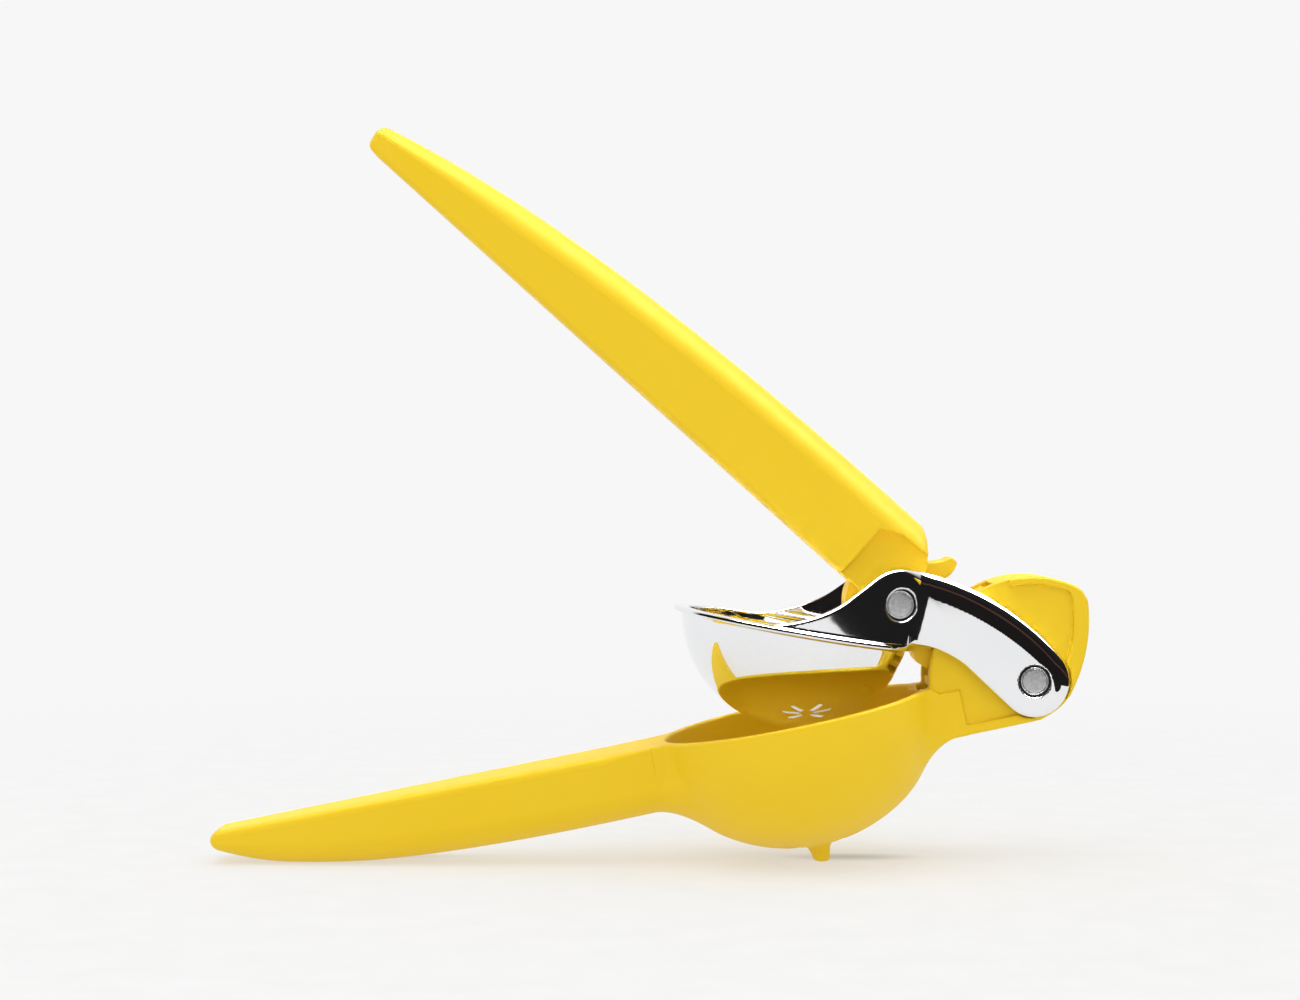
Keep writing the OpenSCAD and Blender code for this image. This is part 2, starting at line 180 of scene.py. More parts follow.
# A cell is kept while its middle is nearer to the surface than REACH times its size plus
# REACH_SLACK. Slopes are taken over PULL_REACH or NORMAL_REACH on both sides of a point.
COARSEST = 8
REACH, REACH_SLACK = 0.95, 0.3
PULLS = 3
PULL_REACH, NORMAL_REACH = 0.02, 0.06
FLATTEST = 0.05
TINY = 1e-9


def keys_of(cells):
    """One whole number for each cell."""
    cells = cells.astype(np.int64) + KEY_SHIFT
    return (cells[:, 0] * KEY_BASE + cells[:, 1]) * KEY_BASE + cells[:, 2]


def lattice(ranges):
    """Every combination of three ranges, one in each row."""
    return np.stack(np.meshgrid(*ranges, indexing="ij"), -1).reshape(-1, 3)


def unit(vectors):
    return vectors / np.maximum(np.linalg.norm(vectors, axis=1, keepdims=True), TINY)


def gradient(field, points, reach):
    columns = []
    for axis in range(3):
        step = np.zeros(3)
        step[axis] = reach
        columns.append(field(*(points + step).T) - field(*(points - step).T))
    return np.stack(columns, 1) / (2 * reach)


def near_surface(field, low, high, step):
    """Grid cells of size step that may hold the surface, found from coarse to fine."""
    scale = COARSEST
    counts = np.ceil((high - low) / (step * scale)).astype(int) + 1
    cells = lattice([np.arange(n) for n in counts]) * scale
    while True:
        centres = low + (cells + scale / 2) * step
        value = np.abs(field(*centres.T))
        cells = cells[value < REACH * scale * step + REACH_SLACK]
        if scale == 1:
            return cells
        split = 4 if scale == COARSEST else 2
        scale //= split
        offsets = lattice([np.arange(split)] * 3) * scale
        cells = (cells[:, None, :] + offsets[None]).reshape(-1, 3)


def crossed_cells(field, low, high, step):
    """Cells that the surface passes through, with the field at their eight corners."""
    cells = near_surface(field, low, high, step)
    corner_cells = (cells[:, None, :] + CORNERS[None]).reshape(-1, 3)
    _, first, inverse = np.unique(keys_of(corner_cells), return_index=True, return_inverse=True)
    corner_points = low + corner_cells[first] * step
    values = field(*corner_points.T)[inverse.reshape(-1)].reshape(-1, 8)
    inside = values < 0
    crossed = inside.any(1) & ~inside.all(1)
    return cells[crossed], values[crossed]


def surface_spots(values):
    """Mean of the places where the surface crosses a cell's edges, in parts of a cell."""
    inside = values < 0
    total = np.zeros((len(values), 3))
    count = np.zeros(len(values))
    for a, b in EDGES:
        crossed = inside[:, a] != inside[:, b]
        run = np.where(crossed, values[:, a] - values[:, b], 1)
        t = np.where(crossed, values[:, a] / run, 0)
        at = CORNERS[a] + t[:, None] * (CORNERS[b] - CORNERS[a])
        total += at * crossed[:, None]
        count += crossed
    return total / count[:, None]


def quads_round_edges(cells, inside):
    """One quad of cells round each grid edge that the surface crosses."""
    order = np.argsort(keys_of(cells))
    sorted_keys = keys_of(cells)[order]
    quads = []
    for axis in range(3):
        left, right = (axis + 1) % 3, (axis + 2) % 3
        crossed = inside[:, 0] != inside[:, NEXT_CORNER[axis]]
        chosen = np.nonzero(crossed & (cells[:, 1] >= 1))[0]
        ring = []
        whole = np.ones(len(chosen), bool)
        for back_left, back_right in ((0, 0), (1, 0), (1, 1), (0, 1)):
            shift = np.zeros(3, int)
            shift[left] = -back_left
            shift[right] = -back_right
            wanted = keys_of(cells[chosen] + shift)
            spot = np.clip(np.searchsorted(sorted_keys, wanted), 0, len(order) - 1)
            ring.append(order[spot])
            whole &= sorted_keys[spot] == wanted
        ring = np.stack(ring, 1)
        ring = np.where(inside[chosen, 0][:, None], ring, ring[:, ::-1])
        quads.append(ring[whole])
    return np.concatenate(quads)


def pull_to_surface(field, points, middle, step):
    """Points moved onto the surface in a few short moves, the middle row within y = 0."""
    for _ in range(PULLS):
        slope = gradient(field, points, PULL_REACH)
        steep = np.maximum((slope ** 2).sum(1), FLATTEST)
        move = -field(*points.T)[:, None] * slope / steep[:, None]
        length = np.linalg.norm(move, axis=1, keepdims=True)
        points = points + move * np.minimum(1, 0.5 * step / np.maximum(length, TINY))
        points[middle, 1] = 0
    return points


def mesh_field(field, low, high, step):
    """Points, quads and normals of the zero surface. The field is the same for y and -y,
    so one half is meshed, with a row of cells centred on y = 0, and then mirrored."""
    low = np.array([low[0], -step / 2, low[1]])
    cells, values = crossed_cells(field, low, np.array(high), step)
    quads = quads_round_edges(cells, values < 0)
    middle = cells[:, 1] == 0
    points = low + (cells + surface_spots(values)) * step
    points = pull_to_surface(field, points, middle, step)
    normals = gradient(field, points, NORMAL_REACH)
    normals[middle, 1] = 0

    away = np.nonzero(~middle)[0]
    mirror = np.arange(len(points))
    mirror[away] = len(points) + np.arange(len(away))
    points = np.concatenate([points, points[away] * FLIP_Y])
    normals = np.concatenate([normals, normals[away] * FLIP_Y])
    quads = np.concatenate([quads, mirror[quads][:, ::-1]])
    return points, quads, unit(normals)


def add_piece(name, points, faces, normals, material, body, nodes, to_row):
    """Turns millimetre points into the row frame and adds them as one piece."""
    uv = to_row(points[:, [0, 2]])
    tips = to_row(points[:, [0, 2]] + normals[:, [0, 2]]) - uv
    placed = np.stack([uv[:, 0], points[:, 1], uv[:, 1]], 1) * MM
    turned = np.stack([tips[:, 0], normals[:, 1], tips[:, 1]], 1)
    mesh = bpy.data.meshes.new(name)
    mesh.from_pydata(placed.tolist(), [], faces.tolist())
    mesh.validate()
    mesh.materials.append(material)
    mesh.polygons.foreach_set("use_smooth", [True] * len(mesh.polygons))
    mesh.update()
    mesh.normals_split_custom_set_from_vertices(turned.tolist())
    piece = bpy.data.objects.new(name, mesh)
    bpy.context.scene.collection.objects.link(piece)
    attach(piece, body)
    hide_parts(*nodes)


def add_field(name, field, box, step, material, body, nodes, to_row):
    """Meshes a field inside a box, given as lowest u and v and as highest u, y and v."""
    points, quads, normals = mesh_field(field, *box, step)
    add_piece(name, points, quads, normals, material, body, nodes, to_row)


# --- Sizes shared by the pieces -------------------------------------------------

BOWL_R = 43.47
BOWL_DEPTH = 42.2
BOWL_COLLAR = 6.0
BOWL_SHOULDER_R = 33.0
BOWL_WALL = 2.7

PIN_R = 4.0
PIN_PLAY = 0.05
SEAT_R = 5.0
HANDLE_PIN_LEN, BASE_PIN_LEN = 38.0, 33.6
HUB_R = 11.8
HUB_HALF = 12.5
SLOT_HALF = 13.0
ARMS_HALF = 17.0
BAND_HALF = 14.0
GEAR_HALF = 8.2
CHEEK_GAP_HALF = 8.8
LOBE_R = 11.2
BORE_EDGE = 0.3

# Teeth: HUB_TEETH would fill the hub's circle, TEETH_CUT are made on hub and sector.
HUB_TEETH = 11
TEETH_CUT = 4
BACKLASH = 0.65
PRESSURE_ANGLE = math.radians(20)
HUB_PITCH_R = PIN_DISTANCE / (1 + GEAR_RATIO)
SECTOR_PITCH_R = PIN_DISTANCE - HUB_PITCH_R
CIRCULAR_PITCH = 2 * math.pi * HUB_PITCH_R / HUB_TEETH
HUB_ADDENDUM, SECTOR_ADDENDUM = 0.365, 0.22
HUB_SHARE = 0.558
ROOT_GAP = 0.9
HUB_TIP_R = HUB_PITCH_R + HUB_ADDENDUM * CIRCULAR_PITCH
SECTOR_TIP_R = SECTOR_PITCH_R + SECTOR_ADDENDUM * CIRCULAR_PITCH
HUB_ROOT_R = PIN_DISTANCE - SECTOR_TIP_R - ROOT_GAP
SECTOR_ROOT_R = PIN_DISTANCE - HUB_TIP_R - ROOT_GAP
HUB_TOOTH = HUB_SHARE * CIRCULAR_PITCH - BACKLASH / 2
SECTOR_TOOTH = (1 - HUB_SHARE) * CIRCULAR_PITCH - BACKLASH / 2
FLANK_SLOPE = 0.93
TOOTH_ROUND = 0.2

GRIP_W, TIP_W = 34.0, 19.0
UPPER_LEN = 220.6
LOWER_LEN = 187.8
TAPER_POWER = 1.6
TIP_LEAN = 12
TIP_ROUND = 2.2
GRIP_POWER = 2.1
GRIP_CORE = 0.35
CURVE_T = np.linspace(0, 1, 400)


def involute(r, base_r):
    a = np.arccos(np.clip(base_r / np.maximum(r, base_r), 0, 1))
    return np.tan(a) - a


def teeth(u, v, centre, first, pitch_angle, pitch_r, tip_r, thickness):
    """Involute teeth round a centre, without the disc that carries them."""
    du, dv = u - centre[0], v - centre[1]
    r = np.hypot(du, dv)
    base_r = pitch_r * math.cos(PRESSURE_ANGLE)
    at_pitch = involute(np.float64(pitch_r), base_r)
    half = thickness / pitch_r / 2 + at_pitch - involute(r, base_r)
    angle = np.arctan2(dv, du)
    off = [np.abs((angle - first - k * pitch_angle + math.pi) % (2 * math.pi) - math.pi)
           for k in range(TEETH_CUT)]
    return soft_both((union(*off) - half) * r * FLANK_SLOPE, r - tip_r, TOOTH_ROUND)


def taper(s, length):
    """0 at a handle's root and 1 at its tip, slow at first."""
    return (np.clip(s, 0, length) / length) ** TAPER_POWER


def grip_field(across, depth, half_w, back, crown, spread):
    """Cross-section of a handle: upright sides, a soft crease and a crowned back."""
    wide = half_w * spread
    a = np.abs(across) / wide
    b = np.maximum(depth - (back - crown), 0) / crown
    size = np.maximum((a ** GRIP_POWER + b ** GRIP_POWER) ** (1 / GRIP_POWER), GRIP_CORE)
    slope_a = (a / size) ** (GRIP_POWER - 1) / wide
    slope_b = (b / size) ** (GRIP_POWER - 1) / crown
    crowned = (size - 1) / np.maximum(np.hypot(slope_a, slope_b), 1 / wide)
    return both(crowned, np.abs(across) - half_w)


# --- Lower body -----------------------------------------------------------------

SHOULDER_AT = (BOWL_R - BOWL_SHOULDER_R, -BOWL_COLLAR)
BOTTOM_DROP = BOWL_DEPTH - BOWL_COLLAR
BOTTOM_R = ((SHOULDER_AT[0] ** 2 + BOTTOM_DROP ** 2 - BOWL_SHOULDER_R ** 2)
            / (2 * (BOTTOM_DROP - BOWL_SHOULDER_R)))
BOTTOM_AT = (0.0, BOTTOM_R - BOWL_DEPTH)

# Lower handle, by distance from the rim's centre towards the tip. Its top is flat and its
# back is crowned. The sleeve is a slightly thicker root that ends in a faint step.
BELLY = [(50.0, -21.8), (156.7, -23.2), (174.7, -11.0), (LOWER_LEN, -4.5)]
LOWER_TOP_FROM, LOWER_TOP_RISE = 50.0, 1.4
LOWER_TIP_V = -5.0
LOWER_CROWN, LOWER_CROWN_SHARE = 9.6, 0.52
GRIP_FROM = 20.0
ROOT_BLEND_R, ROOT_BLEND_DEPTHS = (3.5, 8.7), (5, 19)
SLEEVE_END, SLEEVE_STEP, SLEEVE_DEPTHS, SLEEVE_EDGE = 45.8, 0.5, (7, 15), 0.3

# Edges of the rim and of the lower handle's top, and the step down behind the bowl.
RIM_ROUND, TOP_ROUND, TOP_ROUND_SPAN = 0.9, 2.6, (BOWL_R + 2, BOWL_R + 20)
RIM_STEP, RIM_STEP_SPAN = 2.2, (BOWL_R - 0.5, BOWL_R + 2.5)

# Gear housing behind the bowl.
HOUSING_FLOOR = -16.6
HOUSING_FRONT = 34.0
HOUSING_HEEL, HOUSING_TAIL = (83.5, -13.9), (110, -4)
NECK_RISE = 15.0
CHEEK_R = 32.3
REAR_AT = (46.5, 21.2)
REAR_R = 50.57
HEAD_ROUND, HEEL_ROUND, FRONT_ROUND = 3.0, 2.0, 0.5
ROOT_FROM, ROOT_TO, ROOT_ROUND = 20.0, 60.0, 1.0
ROOT_FILLET_R, ROOT_FILLET_DEPTHS = (5.0, 9.0), (3, 20)
SHELL_END = 52.0
BAND_START, BAND_ROUND = 46.0, 1.2
WEB_ROUND, WEB_FILLET_R = 1.0, 0.8

# What the arms sweep over in the housing's sides. SWEEP_SIDE is the angle of its end.
RECESS_RIM = 4.9
RECESS_LEFT = 49.5
RECESS_FLOOR = -13.4
RECESS_EDGE = 0.45
RECESS_CORNER, SWEEP_CORNER = 1.2, 1.0
SWEEP_INSET = 2.5
SWEEP_SIDE = 1.8
UNDER_LEFT, UNDER_RISE = 2.0, 5.0
LOBE_PLAY = 0.6

# Space between the cheeks, in degrees round the pin, and the sector's first tooth in it,
# in pitches from the line between the pins.
SPACE_OVER = 2.0
SPACE_FROM, SPACE_TO = 270.5, 10.0
SPACE_EDGE = 0.35
SECTOR_FIRST = 2.5

# Drip slots in the bowl's bottom, and the foot under it.
DRIP_HALF = 1.9
DRIP_ANGLES = (0, 50, 130, 180)
DRIP_FROM, DRIP_TO = 6.6, 15.5
DRIP_HEIGHT, DRIP_EDGE = 16.0, 0.9
FOOT_DROP = 6.0
FOOT_ROOT_R, FOOT_END_R = 4.0, 2.7
FOOT_ROOT_UP, FOOT_INTO_BOWL = 1.0, 1.5
FOOT_DOME = 0.7
FOOT_FILLET_R, FOOT_EDGE = 1.8, 0.7

belly_s, belly_v = bezier(BELLY, CURVE_T)


def bowl_field(rho, v):
    """Outer surface of the bowl, open upwards: upright collar, shoulder and bottom arc."""
    shoulder = disc(rho, v, SHOULDER_AT, BOWL_SHOULDER_R)
    bottom = disc(rho, v, BOTTOM_AT, BOTTOM_R)
    turned = rho * (SHOULDER_AT[1] - BOTTOM_AT[1]) - (v - BOTTOM_AT[1]) * SHOULDER_AT[0]
    curved = np.where(turned < 0, shoulder, bottom)
    return np.where(v > -BOWL_COLLAR, rho - BOWL_R, curved)


def lower_top(u):
    """Height of the lower handle's flat top, which rises a little towards the tip."""
    return LOWER_TOP_RISE * np.clip((-u - LOWER_TOP_FROM) / (LOWER_LEN - LOWER_TOP_FROM), 0, 1)


def lower_grip(u, y, v):
    """Lower handle without its flat top."""
    s = -u
    half_w = mix(GRIP_W, TIP_W, taper(s, LOWER_LEN)) / 2
    back = lower_top(u) - np.interp(s, belly_s, belly_v)
    crown = np.minimum(LOWER_CROWN, back * LOWER_CROWN_SHARE)
    field = grip_field(y, lower_top(u) - v, half_w, back, crown, 1.0)
    tip = side_of(u, v, (-LOWER_LEN, LOWER_TIP_V), 180 - TIP_LEAN)
    return np.maximum(soft_both(field, tip, TIP_ROUND), GRIP_FROM - s)


def housing_outline(u, v):
    """Side outline of the gear housing behind the bowl."""
    arcs = soft_both(disc(u, v, BASE_PIN, CHEEK_R), disc(u, v, REAR_AT, REAR_R), HEAD_ROUND)
    lower = both(HOUSING_FLOOR - v,
                 edge_line(u, v, (BASE_PIN[0], HOUSING_FLOOR), HOUSING_HEEL),
                 edge_line(u, v, HOUSING_HEEL, HOUSING_TAIL))
    head = soft_both(soft_both(arcs, lower, HEEL_ROUND), HOUSING_FRONT - u, FRONT_ROUND)
    lobe = disc(u, v, BASE_PIN, LOBE_R + LOBE_PLAY)
    neck = both(HOUSING_FLOOR - v, v - HOUSING_FLOOR - NECK_RISE,
                HOUSING_FRONT - u, u - BASE_PIN[0])
    return union(head, lobe, neck)


def recess_outline(u, v):
    """What the arms sweep over, sunk into both sides of the housing."""
    window = both(disc(u, v, REAR_AT, REAR_R - RECESS_RIM), RECESS_FLOOR - v)
    front = np.minimum(RECESS_LEFT - u, -RIM_STEP - v)
    side = side_of(u, v, BASE_PIN, SWEEP_SIDE)
    sweep = union(disc(u, v, BASE_PIN, CHEEK_R - SWEEP_INSET), side)
    swept = soft_both(soft_both(window, front, RECESS_CORNER), sweep, SWEEP_CORNER)
    lobe = disc(u, v, BASE_PIN, LOBE_R + LOBE_PLAY)
    below = both(BASE_PIN[0] - UNDER_LEFT - u, v - HOUSING_FLOOR - UNDER_RISE)
    return union(swept, lobe, below)


def sector_space(u, v):
    """Space between the cheeks that the hub's teeth roll through."""
    wedge = both(disc(u, v, BASE_PIN, CHEEK_R + SPACE_OVER),
                 side_of(u, v, BASE_PIN, SPACE_TO), side_of(u, v, BASE_PIN, SPACE_FROM))
    pitch = 2 * math.pi / HUB_TEETH / GEAR_RATIO
    first = ARM_DIRECTION - SECTOR_FIRST * pitch
    sector_teeth = teeth(u, v, BASE_PIN, first, pitch, SECTOR_PITCH_R, SECTOR_TIP_R, SECTOR_TOOTH)
    return cut(wedge, union(disc(u, v, BASE_PIN, SECTOR_ROOT_R), sector_teeth))


def drip_slots(u, y):
    """Slots in the bowl's bottom that run out from its centre."""
    slots = []
    for degrees in DRIP_ANGLES:
        a = math.radians(degrees)
        along = u * math.cos(a) + y * math.sin(a)
        aside = -u * math.sin(a) + y * math.cos(a)
        slots.append(np.hypot(along - np.clip(along, DRIP_FROM, DRIP_TO), aside) - DRIP_HALF)
    return union(*slots)


def foot_field(rho, v):
    """Stub under the bowl that the juice runs down and the press stands on."""
    end_v = -BOWL_DEPTH - FOOT_DROP + FOOT_END_R * FOOT_DOME
    t = np.clip((v - end_v) / (FOOT_ROOT_UP - BOWL_DEPTH - end_v), 0, 1)
    stub = np.hypot(rho, np.maximum(end_v - v, 0)) - mix(FOOT_END_R, FOOT_ROOT_R, t)
    return both(stub, v + BOWL_DEPTH - FOOT_INTO_BOWL)


def lower_body(u, y, v):
    """Bowl, lower handle, gear housing and foot in one moulding."""
    y = np.abs(y)
    rho = np.hypot(u, y)
    outer = bowl_field(rho, v)
    grip = lower_grip(u, y, v)
    sleeve = grip - SLEEVE_STEP * (1 - ease(-v, *SLEEVE_DEPTHS))
    blend_r = mix(*ROOT_BLEND_R, ease(-v, *ROOT_BLEND_DEPTHS))
    sleeve = soft_both(sleeve, -u - SLEEVE_END, SLEEVE_EDGE)
    solid = union(soft_union(outer, grip, blend_r), sleeve)
    root = soft_both(slab(y, BAND_HALF), HOUSING_FLOOR - v, ROOT_ROUND)
    root = both(root, ROOT_FROM - u, u - ROOT_TO)
    shell = soft_union(solid, root, mix(*ROOT_FILLET_R, ease(-v, *ROOT_FILLET_DEPTHS)))
    shell = cut(shell, outer + BOWL_WALL)
    top = v - lower_top(u) + RIM_STEP * ease(u, *RIM_STEP_SPAN)
    shell = soft_both(shell, top, mix(RIM_ROUND, TOP_ROUND, ease(-u, *TOP_ROUND_SPAN)))
    shell = np.maximum(shell, u - SHELL_END)

    outline = housing_outline(u, v)
    inside_bowl = -(outer + BOWL_WALL)
    web = both(soft_both(outline, slab(y, HUB_HALF), WEB_ROUND), inside_bowl)
    recess = both(recess_outline(u, v), HUB_HALF - y)
    band = cut(soft_both(outline, slab(y, BAND_HALF), BAND_ROUND), recess, RECESS_EDGE)
    solid = union(soft_union(shell, web, WEB_FILLET_R), both(band, BAND_START - u))

    solid = cut(solid, both(sector_space(u, v), slab(y, CHEEK_GAP_HALF)), SPACE_EDGE)
    solid = cut(solid, disc(u, v, BASE_PIN, PIN_R + PIN_PLAY), BORE_EDGE)
    solid = cut(solid, both(drip_slots(u, y), v + BOWL_DEPTH - DRIP_HEIGHT), DRIP_EDGE)
    solid = soft_union(solid, foot_field(rho, v), FOOT_FILLET_R)
    du, dv = u - BASE_PIN[0], v - BASE_PIN[1]
    row_z = BASE_PIN_ROW[1] + du * math.sin(TILT) + dv * math.cos(TILT)
    return soft_both(solid, -row_z, FOOT_EDGE)


# --- Press lever ------------------------------------------------------------------

CUP_R = 36.5
CUP_RISE = 4.0
CUP_WALL = 1.8
CUP_TOP = -0.2
CUP_FILLET_R = 0.8
FLANGE_R = 38.8
FLANGE_T = 1.6
FLANGE_EDGE = 0.55
COLLAR_R = 37.2
COLLAR_BORE_R = 34.2
COLLAR_RUN = math.radians(43.2)
COLLAR_LEAN = 46.5
COLLAR_SHOULDER_R = 13.5
COLLAR_FILLET_R = 12.0
ARM_BLEND_R = 5.0
ARM_BACK_R = 79.0
ARM_SLOPE = 33
ARM_UNDER = 0.8
UNDER_FILLET_R = 4.0
SEAT_END = (33.5, 36.5)

# The arms' edges swell from a small radius to a crown, along u and with their height.
CROWN_H, CROWN_DEPTH = 7.6, 2.9
CROWN_SPAN, CROWN_HEIGHTS = (27, 41), (2, 13)
LEVER_EDGE, HOLLOW_EDGE = 1.3, 0.5

NOTCH_DEPTH, NOTCH_IN, NOTCH_EDGE = 10.5, 10.0, 0.4
HUB_ROOM, HUB_ROOM_EDGE = 0.5, 0.3
PIN_SINK, PIN_EDGE = 0.6, 0.2
HANDLE_SEAT_EDGE, BASE_SEAT_EDGE = 0.5, 0.15


def lever_plan(u, y):
    """Outline square to the rim: a ring that runs out along tangents into two parallel arms."""
    sin, cos = math.sin(COLLAR_RUN), math.cos(COLLAR_RUN)
    ring = np.where(u * cos > y * sin, u * sin + y * cos, np.hypot(u, y)) - COLLAR_R
    sharp = union(ring, both(y - ARMS_HALF, -u))
    corner_u = (COLLAR_R - ARMS_HALF * cos) / sin
    blend_at = (corner_u + ARM_BLEND_R * math.tan(COLLAR_RUN / 2), ARMS_HALF + ARM_BLEND_R)
    in_blend = (u < blend_at[0]) & ((u - blend_at[0]) * cos > (y - blend_at[1]) * sin)
    return np.where(in_blend, -disc(u, y, blend_at, ARM_BLEND_R), sharp)


def lever_top(u, v):
    """Upper side outline: ramp and shoulder of the collar, long back arc, base pin's lobe."""
    middle = (HANDLE_PIN + BASE_PIN) / 2
    drop = math.sqrt((ARM_BACK_R - LOBE_R) ** 2 - PIN_DISTANCE ** 2 / 4)
    back_at = middle - drop * polar(1, math.degrees(ARM_DIRECTION) - 90)
    outwards = (HANDLE_PIN - back_at) / np.linalg.norm(HANDLE_PIN - back_at)
    shoulder_at = back_at + (ARM_BACK_R - COLLAR_SHOULDER_R) * outwards
    ramp = side_of(u, v, shoulder_at, 90 + COLLAR_LEAN) - COLLAR_SHOULDER_R
    sharp = both(disc(u, v, back_at, ARM_BACK_R), soft_union(ramp, v, COLLAR_FILLET_R))
    past_ramp = side_of(u, v, shoulder_at, COLLAR_LEAN) > 0
    on_shoulder = past_ramp & (edge_line(u, v, back_at, shoulder_at) < 0)
    top = np.where(on_shoulder, disc(u, v, shoulder_at, COLLAR_SHOULDER_R), sharp)
    past_slope = side_of(u, v, BASE_PIN, -ARM_SLOPE) > 0
    on_lobe = past_slope & (edge_line(u, v, back_at, BASE_PIN) > 0)
    return np.where(on_lobe, disc(u, v, BASE_PIN, LOBE_R), top)


def lever_bottom(u, v):
    """Lower side outline: seat on the flange, flat and slope down to the base pin."""
    floor = mix(-FLANGE_T / 2, ARM_UNDER, ease(u, *SEAT_END))
    slope = side_of(u, v, BASE_PIN, 270 - ARM_SLOPE) - LOBE_R
    return soft_union(floor - v, slope, UNDER_FILLET_R)


def press_lever(u, y, v):
    """Cup, flange, collar and both arms in one casting."""
    y = np.abs(y)
    rho = np.hypot(u, y)
    ball = np.hypot(rho, v - CUP_RISE)
    dome = both(slab(ball - CUP_R + CUP_WALL / 2, CUP_WALL / 2), v - CUP_TOP)
    washer = both(rho - FLANGE_R, COLLAR_BORE_R - rho)
    flange = soft_both(washer, slab(v + FLANGE_T / 2, FLANGE_T / 2), FLANGE_EDGE)
    cup = soft_union(dome, flange, CUP_FILLET_R)

    top = lever_top(u, v)
    bottom = lever_bottom(u, v)
    crowned = ease(u, *CROWN_SPAN) * ease(top - bottom, *CROWN_HEIGHTS)
    stretch = mix(1.0, CROWN_H / CROWN_DEPTH, crowned)
    right_of_pin = side_of(u, v, BASE_PIN, -ARM_SLOPE) > 0
    side = np.where(right_of_pin, top, both(top, bottom))
    lever = soft_both(lever_plan(u, y), side / stretch, mix(LEVER_EDGE, CROWN_DEPTH, crowned))
    hollow = union(rho - COLLAR_BORE_R, both(slab(y, SLOT_HALF), -u))
    lever = cut(lever, hollow, HOLLOW_EDGE)
    solid = soft_union(lever, cup, CUP_FILLET_R)

    notch = both(COLLAR_BORE_R - NOTCH_IN - u, slab(y, CHEEK_GAP_HALF), -NOTCH_DEPTH - v)
    solid = cut(solid, notch, NOTCH_EDGE)
    hub_room = both(disc(u, v, HANDLE_PIN, HUB_R + HUB_ROOM), slab(y, SLOT_HALF))
    solid = cut(solid, hub_room, HUB_ROOM_EDGE)
    for pin, length, edge in ((HANDLE_PIN, HANDLE_PIN_LEN, HANDLE_SEAT_EDGE),
                              (BASE_PIN, BASE_PIN_LEN, BASE_SEAT_EDGE)):
        solid = cut(solid, disc(u, v, pin, PIN_R), PIN_EDGE)
        solid = cut(solid, both(disc(u, v, pin, SEAT_R), length / 2 - PIN_SINK - y), edge)
    return solid


# --- Upper handle -----------------------------------------------------------------

# Outline of the handle, from the pin towards the tip and up from its flat face.
UPPER_BACK = [(-1.4, 28.2), (93.6, 29.3), (170.6, 22.8), (UPPER_LEN - 1, 8.6)]
UPPER_TIP = (0.3 - UPPER_LEN, 8.0)
UPPER_CROWN, UPPER_CROWN_SHARE, UPPER_SPREAD = 10.6, 0.54, 1.014
PIN_ABOVE_FACE = 4.7
FACE_ROUND = (2.4, 1.6)
END_SLANT_AT, END_SLANT = (0, 18.5), 40
END_ROUND, END_EDGE = 1.0, 2.0

# Cut beside the hub for the arms, and the hub's last tooth, both from the pin.
BESIDE_LEFT, BESIDE_TOP = -19.9, 17.0
BESIDE_SLOPE = ((-12.4, 17.3), (-19.9, 14))
BESIDE_IN, BESIDE_ROUND, BESIDE_EDGE = 0.5, 1.0, 0.6
LAST_TOOTH_SIDE = ((2.3, 19.7), (3.6, 22.4))
LAST_TOOTH_FROM = 17.0
LAST_TOOTH_WEB = [(-3.0, 13.0), (5.0, 13.0), (5.0, 18.0), (2.5, 19.9), (-1.5, 15.4)]
TOOTH_TRIM = 0.6
HUB_EDGE, GEAR_EDGE = 0.6, 0.4
HUB_FILLET_R = 1.5
back_s, back_h = bezier(UPPER_BACK, CURVE_T)


def hub_gear(u, y, v):
    """Teeth of the hub with the root that carries them."""
    local_u, local_v = u - HANDLE_PIN[0], v - HANDLE_PIN[1]
    pitch = 2 * math.pi / HUB_TEETH
    tip_r = HUB_TIP_R - TOOTH_TRIM
    gear = teeth(u, v, HANDLE_PIN, ARM_DIRECTION - math.pi, pitch, HUB_PITCH_R, tip_r, HUB_TOOTH)
    past_side = edge_line(local_u, local_v, *LAST_TOOTH_SIDE)
    gear = cut(gear, both(past_side, LAST_TOOTH_FROM - local_v))
    root = both(disc(u, v, HANDLE_PIN, HUB_ROOT_R), np.minimum(-local_v, local_u))
    web = convex(local_u, local_v, LAST_TOOTH_WEB)
    return soft_both(union(gear, root, web), slab(y, GEAR_HALF), GEAR_EDGE)


